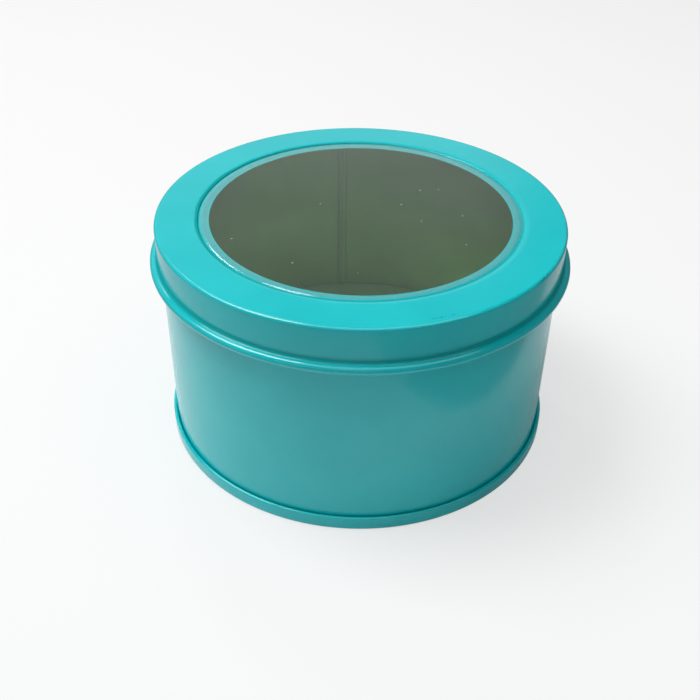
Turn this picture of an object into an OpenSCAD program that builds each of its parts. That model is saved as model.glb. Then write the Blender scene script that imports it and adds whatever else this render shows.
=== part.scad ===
// Round tinplate box with a slip lid and a clear window in the lid.
// Millimetres. The origin is the centre of the foot on the surface the tin stands on, and +Z is up.
// Every pressed piece is one sheet that follows a centre line of straight runs and bends,
// drawn as a section with its thickness and revolved about the tin's axis.

/* [Tin] */
// Height of the closed tin, from the surface it stands on to the lid's top
tin_h = 73; // [40:0.5:140]
// Outer diameter of the wall
wall_d = 123.6; // [112:0.2:180]
// Thickness of the tinplate sheet
sheet = 0.3; // [0.2:0.02:0.4]
// Outer diameter of the curl rolled inwards along the wall's top edge
rim_curl_d = 2.2; // [1.8:0.1:3]

/* [Side seam] */
// Direction of the folded side seam, counterclockwise from +X
side_seam_angle = 96.8; // [0:0.1:360]
// Width of the folded side seam round the wall
side_seam_w = 1.6; // [1.2:0.1:4]
// Gap between the layers pressed together in the side seam
side_seam_gap = 0.06; // [0.04:0.01:0.1]
// Gap left beyond the end of each hook in the side seam
side_hook_gap = 0.3; // [0.2:0.05:0.5]

/* [Foot] */
// Height of the double seam that joins the wall and the base
foot_seam_h = 4.5; // [3.4:0.1:6]
// Gap between the layers of the double seam
seam_gap = 0.15; // [0.05:0.01:0.2]
// Radius of the seam's two lower corners, along the middle of the sheet
foot_corner_r = 0.5; // [0.3:0.05:0.6]
// Gap left beyond the end of each hook in the double seam
hook_end_gap = 0.5; // [0.35:0.05:0.8]
// Height of the base panel's underside above the surface
base_recess = 7.8; // [5.5:0.1:12]
// Radius of the bend between the base panel and its rim
base_corner_r = 1.2; // [0.6:0.1:2.5]
// Diameter of the stiffening bead's middle, pressed up into the base panel
bead_d = 100; // [50:1:110]
// Width of the bead's flat crest
bead_flat_w = 2; // [0.5:0.1:6]
// Radius of the bends that form the bead
bead_r = 1.2; // [0.8:0.1:3]
// Slope of the bead's sides
bead_slope = 40; // [20:1:60]

/* [Lid] */
// Depth of the lid from its top to the bottom of its curl
lid_depth = 13.65; // [10:0.05:30]
// Radial gap between the wall and the lid's skirt
lid_fit = 0.6; // [0.3:0.05:1]
// Gap between the closed lid's top and the wall's rim
lid_seat_gap = 0.2; // [0.1:0.05:0.4]
// Outer radius of the shoulder between the lid's top and its skirt
shoulder_r = 0.9; // [0.6:0.05:3]
// Outer diameter of the curl round the lid's lower edge
lid_curl_d = 2.6; // [2:0.1:3.2]
// Radius of the flare that leads the skirt out to the curl, along the middle of the sheet
flare_r = 1.2; // [0.9:0.05:2.5]

/* [Window] */
// Diameter of the opening punched in the lid's top
opening_d = 92.6; // [60:0.2:108]
// Width of the sunken ledge round the opening, which the pane lies on
ledge_w = 3.2; // [2.9:0.1:5]
// Slope of the step down to the ledge at its steepest
step_slope = 70; // [50:1:85]
// Radius of the gentle bend by which the lid's top dips towards the step
dip_r = 8; // [4:0.5:10]
// Slope at which that gentle bend meets the step
dip_slope = 10; // [5:1:12]
// Thickness of the ring of glue
glue_t = 0.15; // [0.1:0.05:0.5]
// Width of the ring of glue
glue_w = 1.2; // [0.6:0.1:1.2]
// Thickness of the clear pane
pane_t = 0.3; // [0.2:0.05:0.6]
// Gap between the pane's edge and the foot of the step
pane_gap = 0.45; // [0.2:0.05:0.6]
// How far the pane's flat middle lies below the lid's top
pane_sink = 0.05; // [0:0.05:0.4]
// Radius of the pane's turned down rim, along the middle of the plastic
pane_rim_r = 4; // [3:0.1:6]
// Slope at the pane's edge
pane_rim_slope = 12; // [6:1:14]

/* [Hidden] */
$fn = 144;
// Most turn and most length between two points of a bend
bend_step = 15;
bend_chord = 0.6;

// Wall
wall_r = wall_d / 2;
wall_mid_r = wall_r - sheet / 2;
lid_top_under = tin_h - sheet;
rim_top = lid_top_under - lid_seat_gap;
rim_r = (rim_curl_d - sheet) / 2;
rim_centre_z = rim_top - rim_curl_d / 2;
rim_turn = 300;

// Side seam: the wall's two edges are hooked into each other in four layers, pressed to the inside.
// Layer 0 is the wall itself and layer 3 the innermost, one pitch further in each time.
side_pitch = sheet + side_seam_gap;
side_low_z = base_recess + sheet + base_corner_r;
side_high_z = rim_centre_z - rim_curl_d / 2;
side_half_angle = side_seam_w / 2 / wall_mid_r * 180 / PI;
side_hook_angle = (side_seam_w - side_hook_gap) / wall_mid_r * 180 / PI;
// Each hook starts with a root inside the wall's sheet, so it is thinner by a hair on both faces
root_margin = 0.01;
root_length = 0.4;
root_angle = root_length / wall_mid_r * 180 / PI;
hook_sheet = sheet - 2 * root_margin;
// The jog from the wall in to layer 3: a bend, a short run and a bend round the other edge's hook
jog_run = side_pitch;
jog_in_r = 2 * side_pitch;
jog_out_r = 2 * side_pitch;
jog_centres = sqrt(pow(jog_run, 2) + pow(jog_in_r + jog_out_r, 2));
jog_in_centre_r = wall_mid_r - jog_in_r;
jog_out_centre_r = wall_mid_r - side_pitch;
jog_angle = acos((pow(jog_in_centre_r, 2) + pow(jog_out_centre_r, 2) - pow(jog_centres, 2))
    / (2 * jog_in_centre_r * jog_out_centre_r));
jog_start_angle = -side_half_angle - jog_angle;
jog_between = on_plan(jog_out_centre_r, -side_half_angle) - on_plan(jog_in_centre_r, jog_start_angle);
jog_heading = atan2(jog_between[1], jog_between[0]) + atan2(jog_in_r + jog_out_r, jog_run);
jog_in_turn = jog_heading - jog_start_angle - 90;
jog_out_turn = jog_heading - 90 + side_half_angle;

// Double seam: five layers of sheet, one pitch apart, from the base's rim out to its seam wall
layer_pitch = sheet + seam_gap;
hook_r = layer_pitch;
rim_wall_mid_r = wall_mid_r - layer_pitch;
cover_hook_mid_r = wall_mid_r + layer_pitch;
wall_hook_mid_r = wall_mid_r + 2 * layer_pitch;
seam_wall_mid_r = wall_mid_r + 3 * layer_pitch;
foot_corner_z = sheet / 2 + foot_corner_r;
foot_land_w = seam_wall_mid_r - rim_wall_mid_r - 2 * foot_corner_r;
cover_bend_z = foot_seam_h - sheet / 2 - hook_r;
wall_bend_z = sheet + seam_gap + sheet / 2 + hook_r;
cover_hook_end_z = wall_bend_z - hook_r + sheet / 2 + hook_end_gap;
wall_hook_end_z = cover_bend_z + hook_r - sheet / 2 - hook_end_gap;

// Base panel
panel_mid_z = base_recess + sheet / 2;
panel_flat_r = rim_wall_mid_r - base_corner_r;
bead_side_run = 2 * bead_r * sin(bead_slope);
bead_outer_r = bead_d / 2 + bead_flat_w / 2 + bead_side_run;
bead_inner_r = bead_d / 2 - bead_flat_w / 2 - bead_side_run;

// Lid
skirt_mid_r = wall_r + lid_fit + sheet / 2;
lid_mid_z = tin_h - sheet / 2;
shoulder_mid_r = shoulder_r - sheet / 2;
lid_curl_r = (lid_curl_d - sheet) / 2;
lid_curl_centre_z = tin_h - lid_depth + lid_curl_d / 2;
flare_top_z = lid_curl_centre_z + lid_curl_r + flare_r;
lid_curl_turn = 285;

// Window: the lid's top steps down to the ledge as deep as the pane and its glue are thick
opening_r = opening_d / 2;
recess_depth = pane_sink + pane_t + glue_t;
recess_r = opening_r + ledge_w;
ledge_z = tin_h - recess_depth;
dip_drop = dip_r * (1 - cos(dip_slope));
step_r = (recess_depth - dip_drop) / (1 + cos(dip_slope) - 2 * cos(step_slope));
step_w = step_r * (2 * sin(step_slope) - sin(dip_slope));
top_inner_r = recess_r + step_w + dip_r * sin(dip_slope);
pane_mid_z = tin_h - pane_sink - pane_t / 2;
pane_edge_r = recess_r - pane_gap - pane_t / 2 * sin(pane_rim_slope);
pane_edge_z = pane_mid_z - pane_rim_r * (1 - cos(pane_rim_slope));
pane_flat_r = pane_edge_r - pane_rim_r * sin(pane_rim_slope);

function on_plan(r, angle) = [r * cos(angle), r * sin(angle)];

// A sheet's centre line is a list of runs: ["run", length] goes straight on,
// and ["bend", radius, turn] turns left by a positive angle and right by a negative one.
// A place on it is [r, z, heading], with a heading of 0 outwards and 90 upwards.
function ahead(at, d) = [at[0] + d * cos(at[2]), at[1] + d * sin(at[2]), at[2]];
function turned(at, r, turn) =
    let(side = sign(turn), h = at[2], g = at[2] + turn)
    [at[0] + side * r * (sin(g) - sin(h)), at[1] - side * r * (cos(g) - cos(h)), g];
function step_end(at, s) = s[0] == "run" ? ahead(at, s[1]) : turned(at, s[1], s[2]);
function bend_points(r, turn) = ceil(max(abs(turn) / bend_step, r * abs(turn) * PI / 180 / bend_chord));
function step_places(at, s) =
    s[0] == "run"
    ? [ahead(at, s[1])]
    : let(n = bend_points(s[1], s[2])) [for (i = [1:n]) turned(at, s[1], s[2] * i / n)];
function places(at, steps, i = 0) =
    i == len(steps)
    ? []
    : concat(step_places(at, steps[i]), places(step_end(at, steps[i]), steps, i + 1));
// Rounded to a millionth of a millimetre, so that flat runs are level and panels end on the axis
function tidy(v) = round(v * 1e6) / 1e6;
function offset_place(at, d) = [at[0] - d * sin(at[2]), at[1] + d * cos(at[2])];

// The outline of a sheet of thickness t along its centre line
function sheet_outline(at, steps, t) =
    let(line = concat([at], places(at, steps)), last = len(line) - 1)
    concat(
        [for (p = line) offset_place(p, t / 2)],
        [for (i = [0:last]) offset_place(line[last - i], -t / 2)]);

module revolved_sheet(at, steps, t) {
    rotate_extrude()
        polygon([for (p = sheet_outline(at, steps, t)) [tidy(p[0]), tidy(p[1])]]);
}

// The rolled wall: flange hook in the foot's seam, wall, and the rim curled inwards
module wall_sheet() {
    revolved_sheet(
        [wall_hook_mid_r, wall_hook_end_z, -90],
        [
            ["run", wall_hook_end_z - wall_bend_z],
            ["bend", hook_r, -180],
            ["run", rim_centre_z - wall_bend_z],
            ["bend", rim_r, rim_turn]
        ],
        sheet);
}

// The gap in the wall between its two edges, where one runs in behind the other
module side_seam_gap_cut() {
    reach = wall_d;
    translate([0, 0, side_low_z])
        linear_extrude(side_high_z - side_low_z)
            polygon([[0, 0], on_plan(reach, jog_start_angle), on_plan(reach, -side_half_angle)]);
}

// The edge that folds back inside at the seam's left and ends in layer 2
module outer_edge_hook() {
    start_angle = root_angle - side_half_angle;
    start = on_plan(wall_mid_r, start_angle);
    polygon(sheet_outline(
        [start[0], start[1], start_angle - 90],
        [
            ["bend", wall_mid_r, -root_angle],
            ["bend", side_pitch, -180],
            ["bend", wall_mid_r - 2 * side_pitch, side_hook_angle]
        ],
        hook_sheet));
}

// The edge that jogs in to layer 3, runs across the seam and folds back to end in layer 1
module inner_edge_hook() {
    start_angle = jog_start_angle - root_angle;
    start = on_plan(wall_mid_r, start_angle);
    polygon(sheet_outline(
        [start[0], start[1], start_angle + 90],
        [
            ["bend", wall_mid_r, root_angle],
            ["bend", jog_in_r, jog_in_turn],
            ["run", jog_run],
            ["bend", jog_out_r, -jog_out_turn],
            ["bend", wall_mid_r - 3 * side_pitch, 2 * side_half_angle],
            ["bend", side_pitch, -180],
            ["bend", wall_mid_r - side_pitch, -side_hook_angle]
        ],
        hook_sheet));
}

// The wall with its folded side seam, which stops short of the rim's curl and the base panel
module body_wall() {
    color("mediumturquoise")
        rotate([0, 0, side_seam_angle])
            union() {
                difference() {
                    wall_sheet();
                    side_seam_gap_cut();
                }
                translate([0, 0, side_low_z + side_seam_gap])
                    linear_extrude(side_high_z - side_low_z - 2 * side_seam_gap) {
                        outer_edge_hook();
                        inner_edge_hook();
                    }
            }
}

// The pressed bottom end: cover hook, seam wall, the flat land the tin stands on, rim and beaded panel
module base_end() {
    color("darkturquoise")
        revolved_sheet(
            [cover_hook_mid_r, cover_hook_end_z, 90],
            [
                ["run", cover_bend_z - cover_hook_end_z],
                ["bend", hook_r, -180],
                ["run", cover_bend_z - foot_corner_z],
                ["bend", foot_corner_r, -90],
                ["run", foot_land_w],
                ["bend", foot_corner_r, -90],
                ["run", panel_mid_z - base_corner_r - foot_corner_z],
                ["bend", base_corner_r, 90],
                ["run", panel_flat_r - bead_outer_r],
                ["bend", bead_r, -bead_slope],
                ["bend", bead_r, bead_slope],
                ["run", bead_flat_w],
                ["bend", bead_r, bead_slope],
                ["bend", bead_r, -bead_slope],
                ["run", bead_inner_r]
            ],
            sheet);
}

// The pressed lid: ledge round the opening, step, gentle dip, top, shoulder, skirt, flare and
// outward curl
module lid_shell() {
    color("turquoise")
        revolved_sheet(
            [opening_r, ledge_z - sheet / 2, 0],
            [
                ["run", recess_r - opening_r],
                ["bend", step_r, step_slope],
                ["bend", step_r, dip_slope - step_slope],
                ["bend", dip_r, -dip_slope],
                ["run", skirt_mid_r - shoulder_mid_r - top_inner_r],
                ["bend", shoulder_mid_r, -90],
                ["run", lid_mid_z - shoulder_mid_r - flare_top_z],
                ["bend", flare_r, 90],
                ["bend", lid_curl_r, -lid_curl_turn]
            ],
            sheet);
}

// The clear disc of the window, with its rim turned down a little
module window_pane() {
    color("lightcyan", 0.5)
        revolved_sheet(
            [pane_edge_r, pane_edge_z, 180 - pane_rim_slope],
            [
                ["bend", pane_rim_r, pane_rim_slope],
                ["run", pane_flat_r]
            ],
            pane_t);
}

// The ring of glue between the ledge and the flat of the pane
module window_glue() {
    color("gainsboro")
        translate([0, 0, ledge_z])
            rotate_extrude()
                translate([pane_flat_r - glue_w, 0])
                    square([glue_w, glue_t]);
}

body_wall();
base_end();
lid_shell();
window_pane();
window_glue();
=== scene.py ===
# %% [markdown]
# # A round tin with a window in its lid
#
# A tin like this is five pieces: a rolled wall, a base seamed onto its foot, a slip lid with a round
# opening, a clear pane that lies in a recess round that opening, and the ring of glue that holds
# the pane. The solid model is loaded first, as a fixed frame. Everything made here takes its place
# from that frame, so nothing has to be moved into position afterwards.

import math

import bmesh
import bpy
from mathutils import Euler, Matrix, Vector


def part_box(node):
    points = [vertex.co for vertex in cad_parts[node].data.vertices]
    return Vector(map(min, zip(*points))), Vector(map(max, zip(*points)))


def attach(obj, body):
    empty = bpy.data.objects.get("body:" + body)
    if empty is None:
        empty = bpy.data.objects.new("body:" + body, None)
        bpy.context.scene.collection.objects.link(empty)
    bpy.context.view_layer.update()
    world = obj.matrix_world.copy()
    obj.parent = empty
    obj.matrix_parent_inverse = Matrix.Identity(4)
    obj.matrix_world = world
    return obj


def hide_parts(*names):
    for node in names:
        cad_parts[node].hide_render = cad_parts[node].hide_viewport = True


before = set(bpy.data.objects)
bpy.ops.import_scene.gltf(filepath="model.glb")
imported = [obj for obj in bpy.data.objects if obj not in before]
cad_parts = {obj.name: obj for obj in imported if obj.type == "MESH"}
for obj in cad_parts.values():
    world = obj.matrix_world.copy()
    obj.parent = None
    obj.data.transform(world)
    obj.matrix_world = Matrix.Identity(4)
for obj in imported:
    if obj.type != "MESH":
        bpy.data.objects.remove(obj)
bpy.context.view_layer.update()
MM = 0.001

# %% [markdown]
# ## The camera
#
# A photograph of a round thing tells where its camera stood. Each rim is a circle in space and an
# ellipse in the picture, and one place, tilt and lens alone turn the first into the second for all
# the rims together. This camera stands about a third of a metre away and looks down at the lid.

# %% Camera
CAMERA_BACK = 261.2 * MM
CAMERA_UP = 213.9 * MM
LOOK_DOWN = math.radians(36.6)
TURN_LEFT = math.radians(0.59)
ROLL = math.radians(0.87)

camera_data = bpy.data.cameras.new("camera")
camera_data.lens = 49.3
camera_data.sensor_width = 36.0
camera_data.clip_start = 10 * MM
camera = bpy.data.objects.new("camera", camera_data)
bpy.context.scene.collection.objects.link(camera)
camera.location = (0, -CAMERA_BACK, CAMERA_UP)
level_aim = Euler((math.pi / 2 - LOOK_DOWN, 0, TURN_LEFT)).to_matrix()
camera.rotation_euler = (level_aim @ Matrix.Rotation(ROLL, 3, "Z")).to_euler()
bpy.context.scene.camera = camera
bpy.context.scene.view_settings.view_transform = "Standard"

# %% [markdown]
# ## Sizes
#
# The frame gives the box of each solid, which fixes every outer radius and height. The sheet's
# thickness and its bends don't show in a box, so they are named here with the tin maker's values.

# %% Boxes and tin maker's values
SHEET = 0.3 * MM
SEAM_GAP = 0.15 * MM
HOOK_END_GAP = 0.5 * MM
FOOT_SEAM_H = 4.5 * MM

wall_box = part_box("body_wall")
base_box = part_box("base_end")
lid_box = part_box("lid_shell")
pane_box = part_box("window_pane")
glue_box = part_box("window_glue")

foot_pitch = SHEET + SEAM_GAP
seam_wall_r = base_box[1].x - SHEET / 2
wall_r = seam_wall_r - 3 * foot_pitch
rim_wall_r = wall_r - foot_pitch
cover_bend_z = FOOT_SEAM_H - SHEET / 2 - foot_pitch
wall_bend_z = 1.5 * SHEET + SEAM_GAP + foot_pitch
print("The wall's middle radius is", round(wall_r / MM, 3), "mm")

# %% [markdown]
# ## A line of sheet metal
#
# Every piece of a tin starts as flat sheet that a press or a roller bends. So each section here is a
# line of straight runs and bends, as the tin maker would call them out. Extruding the last vertex
# draws a run, and spinning it about the bend's centre draws a bend. The line is drawn twice, half a
# thickness to each side, which gives the sheet its two faces and keeps its thickness exact even in
# the tightest curl. Short lengths at both ends of a run hold the flat flat, because smooth shading
# blends the direction of neighbouring faces.

# %% Sheet lines
BEND_STEP = 7.5
FEWEST_STEPS = 4
HOLD = 0.2 * MM


def run_lengths(length):
    return [HOLD, length - 2 * HOLD, HOLD] if length > 4 * HOLD else [length]


class SheetLine:
    """The middle line of a bent sheet, drawn with x outwards and z upwards."""

    def __init__(self, start, heading, thickness):
        self.start = Vector((start[0], 0, start[1]))
        self.heading = heading
        self.thickness = thickness
        self.steps = []

    def run(self, length):
        self.steps.append((length, 0, 0))
        return self

    def bend(self, radius, turn):
        """A positive turn goes left and a negative one goes right."""
        self.steps.append((0, radius, turn))
        return self

    def draw_face(self, mesh, offset):
        """Draws one face of the sheet, offset to the left of the middle line."""
        heading = math.radians(self.heading)
        tip = mesh.verts.new(self.start + offset * Vector((-math.sin(heading), 0, math.cos(heading))))
        line = [tip]
        for length, radius, turn in self.steps:
            ahead = Vector((math.cos(heading), 0, math.sin(heading)))
            left = Vector((-math.sin(heading), 0, math.cos(heading)))
            if length:
                for part in run_lengths(length):
                    tip = bmesh.ops.extrude_vert_indiv(mesh, verts=[tip])["verts"][0]
                    bmesh.ops.translate(mesh, verts=[tip], vec=part * ahead)
                    line.append(tip)
                continue
            centre = tip.co + (math.copysign(radius, turn) - offset) * left
            known = set(mesh.verts)
            bmesh.ops.spin(mesh, geom=[tip], cent=centre, axis=(0, -1, 0), dvec=(0, 0, 0),
                           angle=math.radians(turn), steps=max(FEWEST_STEPS, math.ceil(abs(turn) / BEND_STEP)))
            line += [v for v in mesh.verts if v not in known]
            tip = line[-1]
            heading += math.radians(turn)
        return line

    def draw(self, mesh):
        half = self.thickness / 2
        return self.draw_face(mesh, half), self.draw_face(mesh, -half)


def line_edges(line):
    return list({edge for vert in line for edge in vert.link_edges})


# %% [markdown]
# ## Spun shells
#
# A pressed round piece is its section turned about the tin's axis. One sector is spun in small
# steps, and then the whole sector is spun again as sixteen copies that merge where they meet. That
# gives the same rings as one long spin and takes a tenth of the time. Each face also keeps a mark
# that says which side of the sheet it is on, because the maker coats one side with enamel and the
# other with clear lacquer before anything is bent.

# %% Spun shells
SECTORS = 16
SECTOR_STEPS = 16
MERGE = 0.001 * MM
BARE, COATED = 0, 1


def spin_sector(mesh, line, mark):
    known = set(mesh.faces)
    bmesh.ops.spin(mesh, geom=line + line_edges(line), cent=(0, 0, 0), axis=(0, 0, 1),
                   dvec=(0, 0, 0), angle=2 * math.pi / SECTORS, steps=SECTOR_STEPS)
    for face in set(mesh.faces) - known:
        face.material_index = mark


def close_shell(mesh):
    bmesh.ops.remove_doubles(mesh, verts=mesh.verts, dist=MERGE)
    bmesh.ops.recalc_face_normals(mesh, faces=mesh.faces)
    open_edges = [edge for edge in mesh.edges if not edge.is_manifold]
    print("  faces", len(mesh.faces), "open edges", len(open_edges))


def spun_shell(sheet, coated_side, reaches_axis=False):
    mesh = bmesh.new()
    left, right = sheet.draw(mesh)
    ends = [(left[0].co.copy(), right[0].co.copy())]
    if not reaches_axis:
        ends.append((left[-1].co.copy(), right[-1].co.copy()))
    raw_edges = []
    for pair in ends:
        raw_edges.append([mesh.verts.new(place) for place in pair])
        mesh.edges.new(raw_edges[-1])
    spin_sector(mesh, left, COATED if coated_side == "left" else BARE)
    spin_sector(mesh, right, COATED if coated_side == "right" else BARE)
    for raw_edge in raw_edges:
        spin_sector(mesh, raw_edge, BARE)
    bmesh.ops.spin(mesh, geom=mesh.verts[:] + mesh.edges[:] + mesh.faces[:], cent=(0, 0, 0),
                   axis=(0, 0, 1), dvec=(0, 0, 0), angle=2 * math.pi * (SECTORS - 1) / SECTORS,
                   steps=SECTORS - 1, use_duplicate=True)
    close_shell(mesh)
    return mesh


# %% [markdown]
# ## From mesh to piece
#
# A finished mesh becomes an object at the origin, rides on the body that carries it, and stands for
# one solid of the frame. Faces are shaded smooth, and only the sheet's cut edges stay sharp.

# %% Pieces
SHARP = math.radians(50)


def make_piece(name, mesh, body, finishes):
    for face in mesh.faces:
        face.smooth = True
    data = bpy.data.meshes.new(name)
    mesh.to_mesh(data)
    mesh.free()
    data.set_sharp_from_angle(angle=SHARP)
    for finish in finishes:
        data.materials.append(finish)
    piece = bpy.data.objects.new(name, data)
    bpy.context.scene.collection.objects.link(piece)
    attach(piece, body)
    print(name, "rides on", body, "with", len(data.polygons), "faces")
    return piece


# %% [markdown]
# ## Shader maths
#
# A finish is a graph of nodes. One small class wraps a node's output so that graphs can be written
# as formulas: adding, subtracting or multiplying two outputs adds the Math node that does it.

# %% Shader helpers
class Value:
    """One output of a node, which can stand in a formula."""

    def __init__(self, graph, socket):
        self.graph = graph
        self.socket = socket

    def __add__(self, other):
        return self.graph.maths("ADD", self, other)

    def __radd__(self, other):
        return self.graph.maths("ADD", other, self)

    def __sub__(self, other):
        return self.graph.maths("SUBTRACT", self, other)

    def __rsub__(self, other):
        return self.graph.maths("SUBTRACT", other, self)

    def __mul__(self, other):
        return self.graph.maths("MULTIPLY", self, other)

    def __rmul__(self, other):
        return self.graph.maths("MULTIPLY", other, self)

    def __truediv__(self, other):
        return self.graph.maths("DIVIDE", self, other)


class Graph:
    """A node tree that is filled by formulas."""

    def __init__(self, owner):
        owner.use_nodes = True
        self.owner = owner
        self.tree = owner.node_tree
        self.tree.nodes.clear()

    def add(self, kind, settings, sockets, output=0):
        """Any node: its type, its settings, and the values or links of its sockets."""
        node = self.tree.nodes.new("ShaderNode" + kind)
        for key, value in settings.items():
            setattr(node, key, value)
        for key, value in sockets.items():
            if isinstance(value, Value):
                self.tree.links.new(value.socket, node.inputs[key])
            else:
                node.inputs[key].default_value = value
        return Value(self, node.outputs[output])

    def maths(self, operation, a, b=0.0):
        return self.add("Math", {"operation": operation}, {0: a, 1: b})

    def ease(self, value, low, high):
        """0 below low, 1 above high, and a smooth slope between."""
        return self.add("MapRange", {"interpolation_type": "SMOOTHSTEP"},
                        {"Value": value, "From Min": low, "From Max": high})

    def band(self, value, low, high, soft):
        """1 between low and high, falling to 0 over soft on both sides."""
        return self.ease(value, low - soft, low) * (1 - self.ease(value, high, high + soft))

    def noise(self, place, scale, detail=2, roughness=0.5):
        return self.add("TexNoise", {}, {"Vector": place, "Scale": scale, "Detail": detail,
                                         "Roughness": roughness})

    def mix(self, factor, first, second):
        """Two colours mixed, as RGBA."""
        return self.add("Mix", {"data_type": "RGBA"}, {"Factor": factor, 6: first, 7: second}, 2)

    def place(self):
        """The point in the tin's frame, with its x, y and z and its distance from the axis."""
        point = self.add("TexCoord", {}, {}, "Object")
        x, y, z = [self.add("SeparateXYZ", {}, {0: point}, axis) for axis in "XYZ"]
        return point, x, y, z, self.maths("SQRT", x * x + y * y)

    def bump(self, height, strength, distance):
        return self.add("Bump", {}, {"Strength": strength, "Distance": distance, "Height": height})

    def finish(self, shader):
        self.add_output(shader)
        return self.owner

    def add_output(self, shader):
        kind = "OutputWorld" if isinstance(self.owner, bpy.types.World) else "OutputMaterial"
        node = self.tree.nodes.new("ShaderNode" + kind)
        self.tree.links.new(shader.socket, node.inputs["Surface"])


def screen(red, green, blue):
    """A screen colour of 0 to 255 as the linear colour that a shader takes."""
    parts = [c / 255 for c in (red, green, blue)]
    return tuple(c / 12.92 if c <= 0.04045 else ((c + 0.055) / 1.055) ** 2.4 for c in parts) + (1,)


# %% [markdown]
# ## Turquoise enamel
#
# The outside is stoved enamel on tinplate: smooth, semi-gloss, and even in colour, with the faint
# ripple that a roller leaves. Handling shows first where two tins touch, so the edges carry small
# grey chips and pale scuffs. Wear that the photograph shows in one place is set by its direction
# round the tin, and broken up by noise so that no two marks look alike.
# The groove round the pane and the crease above the lid's curl carry painted shade; in the groove it is
# deepest on the left and behind.

# %% Enamel
CLEAN = [screen(6, 200, 207), screen(14, 206, 212)]
SCUFFED = screen(132, 214, 214)
CHIPPED = screen(14, 112, 120)
# Painted shade: a darker matte turquoise for the groove round the pane and the crease above the lid's curl.
PAINTED_SHADE = screen(2, 158, 158)
GROOVE_R = 49.45 * MM
CREASE_H = 2.6 * MM


def groove_shade_share(g, point, x, y, r):
    """How much painted shade darkens the groove round the pane: most on the left and behind, least on the
    right and in front, with a border that wanders.
    """
    leftwards = 0 - x / r
    backwards = y / r
    wander = (g.noise(point, 120, 3) - 0.5) * 0.8 * MM
    off_middle = g.maths("ABSOLUTE", r + wander - leftwards * 0.5 * MM - GROOVE_R)
    return (1 - g.ease(off_middle, 0.4 * MM, 0.9 * MM)) * (leftwards * 0.2 + backwards * 0.1 + 0.68)


def crease_shade_share(g, z):
    """How much painted shade darkens the crease in which the skirt turns out into its curl."""
    crease_z = lid_box[0].z + CREASE_H
    above = g.ease(z, crease_z, crease_z + 0.15 * MM)
    return above * (1 - g.ease(z, crease_z + 0.4 * MM, crease_z + 2 * MM)) * 0.68


def enamel(name, edge_bands, chips, is_lid=False):
    """edge_bands are (radius, height) of worn edges, and chips (degrees, half width, radius, height)."""
    g = Graph(bpy.data.materials.new(name))
    point, x, y, z, r = g.place()
    cloud = g.noise(point, 45, 3)
    ripple = g.noise(point, 22, 2)
    peel = g.noise(point, 1100, 2)
    grit = g.noise(point, 900, 4, 0.7)
    patch = g.noise(point, 60, 2)

    worn = g.ease(grit, 0.7, 0.74) * g.ease(patch, 0.6, 0.72) * 0.2
    for radius, height in edge_bands:
        on_edge = g.band(r, radius, radius, 0.45 * MM) * g.band(z, height, height, 0.45 * MM)
        worn = worn + on_edge * g.ease(grit, 0.5, 0.62) * g.ease(patch, 0.48, 0.64) * 0.3
    chipped = 0
    for direction, half_width, radius, height in chips:
        a = math.radians(direction)
        along = (x * math.cos(a) + y * math.sin(a)) / r
        close = g.ease(along, math.cos(math.radians(half_width)), math.cos(math.radians(half_width * 0.6)))
        on_edge = g.band(r, radius, radius, 0.5 * MM) * g.band(z, height, height, 0.5 * MM)
        chipped = chipped + close * on_edge * g.ease(grit, 0.5, 0.56) * 0.85

    colour = g.mix(g.ease(cloud, 0.3, 0.7), CLEAN[0], CLEAN[1])
    colour = g.mix(worn, colour, SCUFFED)
    if chips:
        colour = g.mix(g.maths("MINIMUM", chipped, 1.0), colour, CHIPPED)
    rough = g.bump(ripple * 0.8 + peel * 0.02, 0.1, 0.3 * MM)
    coat = g.add("BsdfPrincipled", {}, {
        "Base Color": colour, "Metallic": 0.0, "Roughness": worn * 0.3 + cloud * 0.06 + 0.13,
        "Specular IOR Level": 0.6, "Coat Weight": 0.2, "Coat Roughness": 0.1, "Normal": rough})
    if not is_lid:
        return g.finish(coat)
    # The groove and the crease are mixed towards the darker matte turquoise: painted shade where little light
    # reaches.
    shade_coat = g.add("BsdfPrincipled", {}, {"Base Color": PAINTED_SHADE, "Roughness": 0.8, "Specular IOR Level": 0.1})
    shade_share = g.maths("MAXIMUM", groove_shade_share(g, point, x, y, r), crease_shade_share(g, z))
    return g.finish(g.add("MixShader", {}, {0: shade_share, 1: coat, 2: shade_coat}))


lid_enamel = enamel("lid_enamel", [(62.5 * MM, 72.8 * MM), (64.9 * MM, 60.6 * MM)],
                    [(-69, 4, 60.4 * MM, 73.0 * MM), (-43, 1.2, 61.9 * MM, 72.9 * MM),
                     (-35, 6, 62.4 * MM, 72.8 * MM), (-10, 1.6, 61.9 * MM, 72.9 * MM)],
                    is_lid=True)
wall_enamel = enamel("wall_enamel", [(61.0 * MM, 72.4 * MM)], [])
base_enamel = enamel("base_enamel", [(63.1 * MM, 4.3 * MM), (63.0 * MM, 0.2 * MM)], [])
print("enamels:", lid_enamel.name, wall_enamel.name, base_enamel.name)

# %% [markdown]
# ## Lacquered inside
#
# The inside is bare tinplate under a thin golden lacquer, so it is a tinted, blurred mirror. The
# blur varies a little where the roller coat ran thick or thin. The base has a paler coat, and a
# darker stripe is brushed over the wall's side seam, whose folding cracks the first coat.

# %% Lacquer
SEAM_DIRECTION = math.radians(96.8)
STRIPE_RIGHT = -0.45 * MM
STRIPE_LEFT = 0.9 * MM


def seam_stripe(g, x, y):
    """1 on the stripe of second lacquer over the side seam."""
    across = y * math.cos(SEAM_DIRECTION) - x * math.sin(SEAM_DIRECTION)
    towards = x * math.cos(SEAM_DIRECTION) + y * math.sin(SEAM_DIRECTION)
    right = g.ease(across, STRIPE_RIGHT - 0.3 * MM, STRIPE_RIGHT)
    left = 1 - g.ease(across, STRIPE_LEFT, STRIPE_LEFT + 0.9 * MM)
    return right * left * g.ease(towards, 0, 10 * MM)


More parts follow.
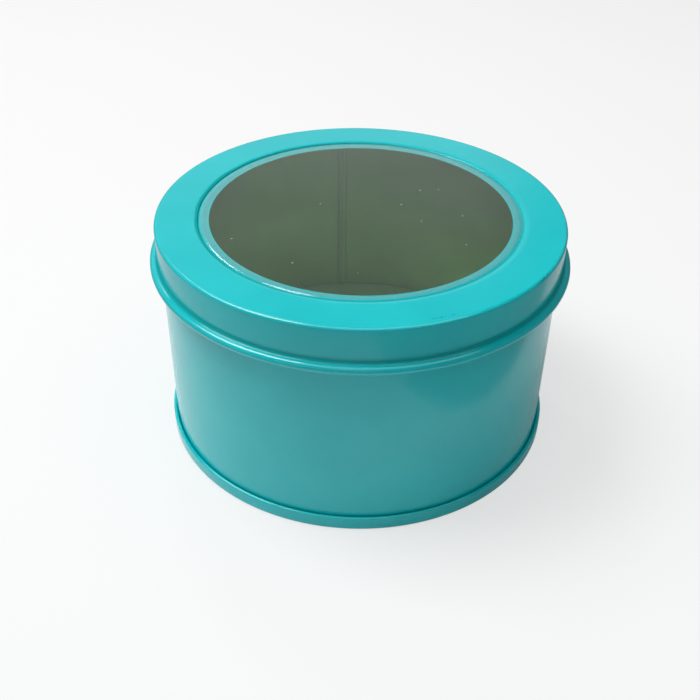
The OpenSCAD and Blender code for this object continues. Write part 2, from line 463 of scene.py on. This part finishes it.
def lacquer(name, thin, thick, has_stripe=False):
    g = Graph(bpy.data.materials.new(name))
    point, x, y, z, r = g.place()
    cloud = g.noise(point, 30, 3)
    fine = g.noise(point, 800, 3)
    colour = g.mix(g.ease(cloud, 0.3, 0.7), thick, thin)
    if has_stripe:
        colour = g.mix(seam_stripe(g, x, y) * (fine * 0.3 + 0.36), colour, screen(82, 118, 42))
    return g.finish(g.add("BsdfPrincipled", {}, {
        "Base Color": colour, "Metallic": 0.55, "Roughness": fine * 0.12 + cloud * 0.1 + 0.3,
        "Normal": g.bump(fine, 0.04, 0.1 * MM)}))


inside_lacquer = lacquer("inside_lacquer", screen(148, 188, 96), screen(128, 170, 78))
wall_lacquer = lacquer("wall_lacquer", screen(148, 188, 96), screen(128, 170, 78), has_stripe=True)
base_lacquer = lacquer("base_lacquer", screen(146, 192, 132), screen(126, 174, 112))

# %% [markdown]
# ## Clear plastic
#
# The pane is a thin clear sheet. Seen straight on it is almost invisible, and at a slant it mirrors
# the room, so each of its faces is mixed from a see-through part and a mirror. The outer face also
# carries what handling leaves: a faint haze, a few specks of dust, and dirt along the rim.

# %% Plastic
OPENING_R = 46.3 * MM
RIM_DIRT_R = 48.7 * MM
DUST_CELLS = 160
DUST_R = 0.38 * MM


def clear_layers(g):
    """Clear sheet with its mirror, which is faint straight on and strong at a slant."""
    facing = g.add("LayerWeight", {}, {"Blend": 0.5}, "Facing")
    squared = facing * facing
    mirror = squared * squared * facing * 0.9 + 0.05
    clear = g.add("BsdfTransparent", {}, {"Color": (0.99, 0.995, 0.995, 1)})
    shine = g.add("BsdfPrincipled", {}, {"Base Color": (0.96, 0.98, 1.0, 1), "Metallic": 1.0,
                                         "Roughness": 0.1})
    return g.add("MixShader", {}, {0: mirror, 1: clear, 2: shine})


def inner_plastic(name):
    g = Graph(bpy.data.materials.new(name))
    return g.finish(clear_layers(g))


def outer_plastic(name):
    g = Graph(bpy.data.materials.new(name))
    point, x, y, z, r = g.place()
    flat, cell = {"voronoi_dimensions": "2D"}, {"Vector": point, "Scale": DUST_CELLS}
    near_dust = g.add("TexVoronoi", flat, cell, "Distance")
    pick = g.add("SeparateColor", {}, {0: g.add("TexVoronoi", flat, cell, "Color")}, 0)
    dust = (1 - g.ease(near_dust, DUST_R * DUST_CELLS * 0.4, DUST_R * DUST_CELLS)) * g.ease(pick, 0.86, 1.0)
    dust = dust * (1 - g.ease(r, OPENING_R - 0.4 * MM, OPENING_R))
    haze = g.ease(g.noise(point, 38, 3), 0.25, 0.8) * 0.03 + 0.055
    dirt = g.ease(r, RIM_DIRT_R - 0.5 * MM, RIM_DIRT_R) * g.ease(g.noise(point, 600, 3, 0.6), 0.5, 0.62) * 0.06
    milk = g.add("BsdfPrincipled", {}, {"Base Color": screen(190, 220, 204), "Roughness": 0.3})
    marks = g.maths("MINIMUM", haze + dust * 0.5 + dirt, 0.8)
    return g.finish(g.add("MixShader", {}, {0: marks, 1: clear_layers(g), 2: milk}))


pane_finishes = [inner_plastic("clear_plastic_inside"), outer_plastic("clear_plastic_outside")]

# %% [markdown]
# ## Glue
#
# The adhesive between the ledge and the pane has dried clear and a little whitish, with small
# trapped bubbles. It makes the ledge look paler where it lies under the pane.

# %% Glue finish
def dried_glue(name):
    g = Graph(bpy.data.materials.new(name))
    point, x, y, z, r = g.place()
    bubbles = g.noise(point, 700, 2)
    clear = g.add("BsdfTransparent", {}, {"Color": (1, 1, 1, 1)})
    body = g.add("BsdfPrincipled", {}, {
        "Base Color": g.mix(bubbles, screen(206, 220, 222), screen(228, 236, 238)), "Roughness": 0.25,
        "Normal": g.bump(bubbles, 0.3, 0.1 * MM)})
    return g.finish(g.add("MixShader", {}, {0: g.ease(bubbles, 0.3, 0.7) * 0.03 + 0.03, 1: clear, 2: body}))


glue_finish = dried_glue("dried_glue")

# %% [markdown]
# ## The lid
#
# The press draws the lid in one go: a flat ring with a shoulder and a skirt outside it, and inside
# it a gentle dip, a step and a narrow ledge round the punched opening. The pane lies on that ledge,
# level with the top, so it hides the punched edge. The lid's lower edge flares and is curled
# outwards. The glue's box tells how high the ledge lies.

# %% Lid
LEDGE_W = 3.2 * MM
STEP_SLOPE = 70
DIP_R = 8 * MM
DIP_SLOPE = 10
SHOULDER_R = 0.9 * MM
FLARE_R = 1.2 * MM
LID_CURL_D = 2.6 * MM

lid_low, lid_high = lid_box
ledge_z = glue_box[0].z
recess_r = OPENING_R + LEDGE_W
step_slope = math.radians(STEP_SLOPE)
dip_slope = math.radians(DIP_SLOPE)
step_drop = lid_high.z - ledge_z - DIP_R * (1 - math.cos(dip_slope))
step_r = step_drop / (1 + math.cos(dip_slope) - 2 * math.cos(step_slope))
step_w = step_r * (2 * math.sin(step_slope) - math.sin(dip_slope))
top_inner_r = recess_r + step_w + DIP_R * math.sin(dip_slope)
lid_curl_r = (LID_CURL_D - SHEET) / 2
shoulder_r = SHOULDER_R - SHEET / 2
skirt_r = lid_high.x - LID_CURL_D / 2 - FLARE_R
lid_top_z = lid_high.z - SHEET / 2
flare_top_z = lid_low.z + LID_CURL_D / 2 + lid_curl_r + FLARE_R
print("The ledge lies", round((lid_high.z - ledge_z) / MM, 2), "mm below the lid's top")

lid_sheet = SheetLine((OPENING_R, ledge_z - SHEET / 2), 0, SHEET)
lid_sheet.run(LEDGE_W).bend(step_r, STEP_SLOPE).bend(step_r, DIP_SLOPE - STEP_SLOPE)
lid_sheet.bend(DIP_R, -DIP_SLOPE).run(skirt_r - shoulder_r - top_inner_r)
lid_sheet.bend(shoulder_r, -90).run(lid_top_z - shoulder_r - flare_top_z)
lid_sheet.bend(FLARE_R, 90).bend(lid_curl_r, -285)
lid = make_piece("lid", spun_shell(lid_sheet, "left"), "lid", [inside_lacquer, lid_enamel])
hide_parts("lid_shell")

# %% [markdown]
# ## The base
#
# The base end hooks over the wall's flange and is rolled flat against it: the outer half of the
# double seam, and the bead that shows round the foot. The tin stands on the seam's flat underside,
# because the panel is raised, and a pressed bead keeps that panel from ringing like a drum.

# %% Base
FOOT_CORNER_R = 0.5 * MM
BASE_CORNER_R = 1.2 * MM
BASE_RECESS = 7.8 * MM
BEAD_MIDDLE_R = 50 * MM
BEAD_FLAT_W = 2 * MM
BEAD_R = 1.2 * MM
BEAD_SLOPE = 40

cover_hook_end_z = wall_bend_z - foot_pitch + SHEET / 2 + HOOK_END_GAP
foot_corner_z = SHEET / 2 + FOOT_CORNER_R
panel_z = BASE_RECESS + SHEET / 2
bead_side = 2 * BEAD_R * math.sin(math.radians(BEAD_SLOPE))
bead_outer_r = BEAD_MIDDLE_R + BEAD_FLAT_W / 2 + bead_side
bead_inner_r = BEAD_MIDDLE_R - BEAD_FLAT_W / 2 - bead_side

base_sheet = SheetLine((wall_r + foot_pitch, cover_hook_end_z), 90, SHEET)
base_sheet.run(cover_bend_z - cover_hook_end_z).bend(foot_pitch, -180)
base_sheet.run(cover_bend_z - foot_corner_z).bend(FOOT_CORNER_R, -90)
base_sheet.run(seam_wall_r - rim_wall_r - 2 * FOOT_CORNER_R).bend(FOOT_CORNER_R, -90)
base_sheet.run(panel_z - BASE_CORNER_R - foot_corner_z).bend(BASE_CORNER_R, 90)
base_sheet.run(rim_wall_r - BASE_CORNER_R - bead_outer_r).bend(BEAD_R, -BEAD_SLOPE).bend(BEAD_R, BEAD_SLOPE)
base_sheet.run(BEAD_FLAT_W).bend(BEAD_R, BEAD_SLOPE).bend(BEAD_R, -BEAD_SLOPE).run(bead_inner_r)
base = make_piece("base", spun_shell(base_sheet, "left", reaches_axis=True), "tin",
                  [base_lacquer, base_enamel])
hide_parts("base_end")

# %% [markdown]
# ## The wall
#
# The wall is rolled from a strip. Its foot is flanged out and up into the double seam, and its top
# edge is curled inwards, so the rim is smooth to the hand. The spun ring has no side seam yet.

# %% Wall ring
RIM_CURL_D = 2.2 * MM
RIM_TURN = 300

rim_r = (RIM_CURL_D - SHEET) / 2
rim_centre_z = wall_box[1].z - RIM_CURL_D / 2
wall_hook_end_z = cover_bend_z + foot_pitch - SHEET / 2 - HOOK_END_GAP

wall_sheet = SheetLine((wall_r + 2 * foot_pitch, wall_hook_end_z), -90, SHEET)
wall_sheet.run(wall_hook_end_z - wall_bend_z).bend(foot_pitch, -180)
wall_sheet.run(rim_centre_z - wall_bend_z).bend(rim_r, RIM_TURN)
wall_mesh = spun_shell(wall_sheet, "right")

# %% [markdown]
# ## The side seam
#
# The strip's two edges are hooked into each other and pressed flat on the inside, so the seam is
# four layers thick. Seen from above, each edge is again a line of sheet: one folds straight back,
# and the other jogs inwards, runs behind the first and folds back into it. The ring is opened
# between the two edges by four cuts, and the hooks are drawn flat, laid down and extruded upwards.

# %% Side seam sizes
SIDE_SEAM_W = 1.6 * MM
SIDE_SEAM_GAP = 0.06 * MM
SIDE_HOOK_GAP = 0.3 * MM
ROOT_MARGIN = 0.01 * MM
ROOT_LENGTH = 0.4 * MM

side_pitch = SHEET + SIDE_SEAM_GAP
half_turn = math.degrees(SIDE_SEAM_W / 2 / wall_r)
hook_turn = math.degrees((SIDE_SEAM_W - SIDE_HOOK_GAP) / wall_r)
root_turn = math.degrees(ROOT_LENGTH / wall_r)
jog_r = 2 * side_pitch
between_centres = math.hypot(side_pitch, 2 * jog_r)
in_centre_r = wall_r - jog_r
out_centre_r = wall_r - side_pitch
jog_cosine = (in_centre_r ** 2 + out_centre_r ** 2 - between_centres ** 2) / (2 * in_centre_r * out_centre_r)
jog_start = -half_turn - math.degrees(math.acos(jog_cosine))


def on_plan(radius, degrees):
    turn = math.radians(degrees)
    return Vector((radius * math.cos(turn), radius * math.sin(turn)))


step = on_plan(out_centre_r, -half_turn) - on_plan(in_centre_r, jog_start)
jog_heading = math.degrees(math.atan2(step.y, step.x) + math.atan2(2 * jog_r, side_pitch))
jog_in_turn = jog_heading - jog_start - 90
jog_out_turn = jog_heading - 90 + half_turn
print("The seam's jog turns", round(jog_in_turn, 1), "degrees inwards")

# %% Gap in the ring
CUT_NEAR = 6
CUT_SNAP = 0.0001 * MM

side_low_z = BASE_RECESS + SHEET + BASE_CORNER_R
side_high_z = rim_centre_z - RIM_CURL_D / 2


def direction_of(face):
    centre = face.calc_center_median()
    return math.degrees(math.atan2(centre.y, centre.x))


def cut(mesh, from_direction, to_direction, point, normal):
    """Cuts the faces between two directions along a plane."""
    faces = [face for face in mesh.faces if from_direction < direction_of(face) < to_direction]
    edges = {edge for face in faces for edge in face.edges}
    verts = {vert for face in faces for vert in face.verts}
    bmesh.ops.bisect_plane(mesh, geom=faces + list(edges) + list(verts), dist=CUT_SNAP,
                           plane_co=point, plane_no=normal)


def open_ring(mesh):
    for direction in (jog_start, -half_turn):
        across = on_plan(1, direction + 90)
        cut(mesh, direction - CUT_NEAR, direction + CUT_NEAR, (0, 0, 0), (across.x, across.y, 0))
    for height in (side_low_z, side_high_z):
        cut(mesh, jog_start, -half_turn, (0, 0, height), (0, 0, 1))
    gone = [face for face in mesh.faces if jog_start < direction_of(face) < -half_turn
            and side_low_z < face.calc_center_median().z < side_high_z]
    bmesh.ops.delete(mesh, geom=gone, context="FACES")
    rims = [edge for edge in mesh.edges if edge.is_boundary]
    bmesh.ops.bridge_loops(mesh, edges=rims)
    print("The gap takes", len(gone), "faces and has", len(rims), "edges")


open_ring(wall_mesh)

# %% Hooked edges
def raise_hook(wall, hook, coated_side):
    """Draws a hooked edge in plan, lays it down, raises it up the seam, and adds it to the wall."""
    mesh = bmesh.new()
    left, right = hook.draw(mesh)
    outline = {"left": line_edges(left), "right": line_edges(right)}
    band = bmesh.ops.bridge_loops(mesh, edges=outline["left"] + outline["right"])["faces"]
    bmesh.ops.rotate(mesh, verts=mesh.verts, cent=(0, 0, 0),
                     matrix=Matrix.Rotation(math.radians(-90), 3, "X"))
    bmesh.ops.translate(mesh, verts=mesh.verts, vec=(0, 0, side_low_z + SIDE_SEAM_GAP))
    raised = bmesh.ops.extrude_face_region(mesh, geom=band)["geom"]
    top = [item for item in raised if isinstance(item, bmesh.types.BMVert)]
    bmesh.ops.translate(mesh, verts=top, vec=(0, 0, side_high_z - side_low_z - 2 * SIDE_SEAM_GAP))
    for edge in outline[coated_side]:
        for face in edge.link_faces:
            face.material_index = COATED
    for face in band:
        face.material_index = BARE
    close_shell(mesh)
    data = bpy.data.meshes.new("hook")
    mesh.to_mesh(data)
    mesh.free()
    wall.from_mesh(data)
    bpy.data.meshes.remove(data)


hook_sheet = SHEET - 2 * ROOT_MARGIN
outer_hook = SheetLine(on_plan(wall_r, root_turn - half_turn), root_turn - half_turn - 90, hook_sheet)
outer_hook.bend(wall_r, -root_turn).bend(side_pitch, -180).bend(wall_r - 2 * side_pitch, hook_turn)
inner_hook = SheetLine(on_plan(wall_r, jog_start - root_turn), jog_start - root_turn + 90, hook_sheet)
inner_hook.bend(wall_r, root_turn).bend(jog_r, jog_in_turn).run(side_pitch).bend(jog_r, -jog_out_turn)
inner_hook.bend(wall_r - 3 * side_pitch, 2 * half_turn).bend(side_pitch, -180)
inner_hook.bend(wall_r - side_pitch, -hook_turn)

raise_hook(wall_mesh, outer_hook, "left")
raise_hook(wall_mesh, inner_hook, "right")
bmesh.ops.rotate(wall_mesh, verts=wall_mesh.verts, cent=(0, 0, 0),
                 matrix=Matrix.Rotation(SEAM_DIRECTION, 3, "Z"))
wall = make_piece("wall", wall_mesh, "tin", [wall_lacquer, wall_enamel])
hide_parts("body_wall")

# %% [markdown]
# ## The pane
#
# A disc is cut from clear sheet, and the cutter turns its rim down a little. A flat disc would do
# from afar, but the turned rim is what catches the light all round the window.

# %% Pane
PANE_RIM_R = 4 * MM
PANE_RIM_SLOPE = 12

pane_high = pane_box[1]
pane_t = pane_high.z - glue_box[1].z
rim_slope = math.radians(PANE_RIM_SLOPE)
pane_edge_r = pane_high.x - pane_t / 2 * math.sin(rim_slope)
pane_edge_z = pane_high.z - pane_t / 2 - PANE_RIM_R * (1 - math.cos(rim_slope))
pane_flat_r = pane_edge_r - PANE_RIM_R * math.sin(rim_slope)

pane_sheet = SheetLine((pane_edge_r, pane_edge_z), 180 - PANE_RIM_SLOPE, pane_t)
pane_sheet.bend(PANE_RIM_R, PANE_RIM_SLOPE).run(pane_flat_r)
pane = make_piece("pane", spun_shell(pane_sheet, "right", reaches_axis=True), "lid",
                  pane_finishes)
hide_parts("window_pane")
print("The pane is flat to a radius of", round(pane_flat_r / MM, 2), "mm")

# %% [markdown]
# ## The glue
#
# A thin flat ring is all the glue is, so it is drawn as one more line of sheet. A hair of air above
# and below keeps its faces from lying exactly in the ledge's and the pane's, where a renderer can't
# tell which comes first and shows specks.

# %% Glue
GLUE_W = 1.2 * MM
HAIR = 0.01 * MM

glue_low, glue_high = glue_box
glue_sheet = SheetLine((glue_high.x - GLUE_W, (glue_low.z + glue_high.z) / 2), 0,
                       glue_high.z - glue_low.z - 2 * HAIR)
glue_sheet.run(GLUE_W)
glue = make_piece("glue", spun_shell(glue_sheet, "neither"), "lid", [glue_finish])
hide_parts("window_glue")

# %% [markdown]
# ## Floor
#
# The tin stands on a white sheet on a table. The camera sees plain near white with a soft shadow, as
# in a photograph whose background was cut out. The tin's wall still mirrors what was cut out, and
# following those mirrored rays back to the table shows a white sheet that fades with distance, the
# tin's shadow on its right, and the sheet's straight edge beyond it. Gloss finds that sheet here too.

# %% Floor
SHEET_EDGE = (50 * MM, -107.5 * MM)
SHEET_EDGE_NORMAL = (0.829, -0.559)

floor_mesh = bmesh.new()
bmesh.ops.create_grid(floor_mesh, x_segments=1, y_segments=1, size=3.0)
floor_data = bpy.data.meshes.new("floor")
floor_mesh.to_mesh(floor_data)
floor_mesh.free()
floor = bpy.data.objects.new("floor", floor_data)
bpy.context.scene.collection.objects.link(floor)


def ray_is(g, *kinds):
    """1 for a ray of one of these kinds."""
    total = 0
    for kind in kinds:
        total = total + g.add("LightPath", {}, {}, f"Is {kind} Ray")
    return g.maths("MINIMUM", total, 1.0)


g = Graph(bpy.data.materials.new("white_table"))
point, floor_x, floor_y, floor_z, floor_r = g.place()
past_edge = (floor_x - SHEET_EDGE[0]) * SHEET_EDGE_NORMAL[0] + (floor_y - SHEET_EDGE[1]) * SHEET_EDGE_NORMAL[1]
gloss = ray_is(g, "Glossy")
far_away = g.ease(floor_r, 90 * MM, 220 * MM) * (gloss * 0.5 + 0.25)
near_white = g.mix(gloss, (0.93, 0.93, 0.93, 1), (0.88, 0.88, 0.88, 1))
white_sheet = g.mix(far_away, near_white, (0.05, 0.05, 0.05, 1))
mirrored = g.mix(g.ease(past_edge, 0, 6 * MM), white_sheet, (0.26, 0.26, 0.26, 1))
sheet = g.add("BsdfPrincipled", {}, {"Base Color": white_sheet, "Roughness": 1.0, "Specular IOR Level": 0.0})
table = g.add("BsdfPrincipled", {}, {"Base Color": g.mix(gloss, (0.9, 0.9, 0.9, 1), mirrored),
                                     "Roughness": 1.0, "Specular IOR Level": 0.0})
glow = g.add("Emission", {}, {"Color": (1, 1, 1, 1), "Strength": 1.0})
shown = g.add("MixShader", {}, {0: (1 - gloss) * 0.62, 1: table, 2: glow})
floor_data.materials.append(g.finish(g.add("MixShader", {}, {
    0: ray_is(g, "Camera", "Glossy", "Transmission"), 1: sheet, 2: shown})))

# %% [markdown]
# ## Room and lamps
#
# The room is pale a little above the horizon and darker overhead and to the right, which the lid's
# flat ring mirrors faintly. The tin's shadow tells where the main light was: on the left, about sixty
# degrees up. A wide weak lamp overhead fills the shadows, and two small lamps behind give the two
# short white glints on the pane's turned rim.

# %% Room
world = bpy.data.worlds.new("room")
bpy.context.scene.world = world
g = Graph(world)
direction = g.add("TexCoord", {}, {}, "Generated")
side_x = g.add("SeparateXYZ", {}, {0: direction}, "X")
up_z = g.add("SeparateXYZ", {}, {0: direction}, "Z")
overhead = g.ease(up_z, 0.3, 0.66)
rightwards = g.ease(side_x, 0.12, 0.2)
low = 1 - g.ease(up_z, 0.2, 0.36)
brightness = (1 - overhead * 0.8) * (1 - rightwards * 0.6) * (1 - low * 0.88) * 0.64
seen = ray_is(g, "Camera", "Transmission")
mirrored = brightness * (ray_is(g, "Glossy") * 0.5 + 0.5)
g.finish(g.add("Background", {}, {"Color": (1, 1, 1, 1), "Strength": mirrored * (1 - seen) + seen * 0.94}))

# %% Lamps
TIN_MIDDLE = Vector((0, 0, 40 * MM))


def add_lamp(name, place, width, height, power):
    data = bpy.data.lights.new(name, "AREA")
    data.shape = "RECTANGLE"
    data.size = width
    data.size_y = height
    data.energy = power
    lamp = bpy.data.objects.new(name, data)
    bpy.context.scene.collection.objects.link(lamp)
    lamp.location = place
    lamp.rotation_euler = (TIN_MIDDLE - Vector(place)).to_track_quat("-Z", "Y").to_euler()
    print(name, "gives", power, "W")


add_lamp("key_lamp", (-0.6, 0.1, 1.13), 0.66, 0.66, 10.2)
add_lamp("overhead_lamp", (0.06, -0.1, 1.0), 1.1, 1.1, 4.6)
add_lamp("back_lamp", (-0.178, 0.59, 0.829), 0.11, 0.13, 0.42)
add_lamp("back_left_lamp", (-0.324, 0.709, 0.685), 0.06, 0.13, 0.24)
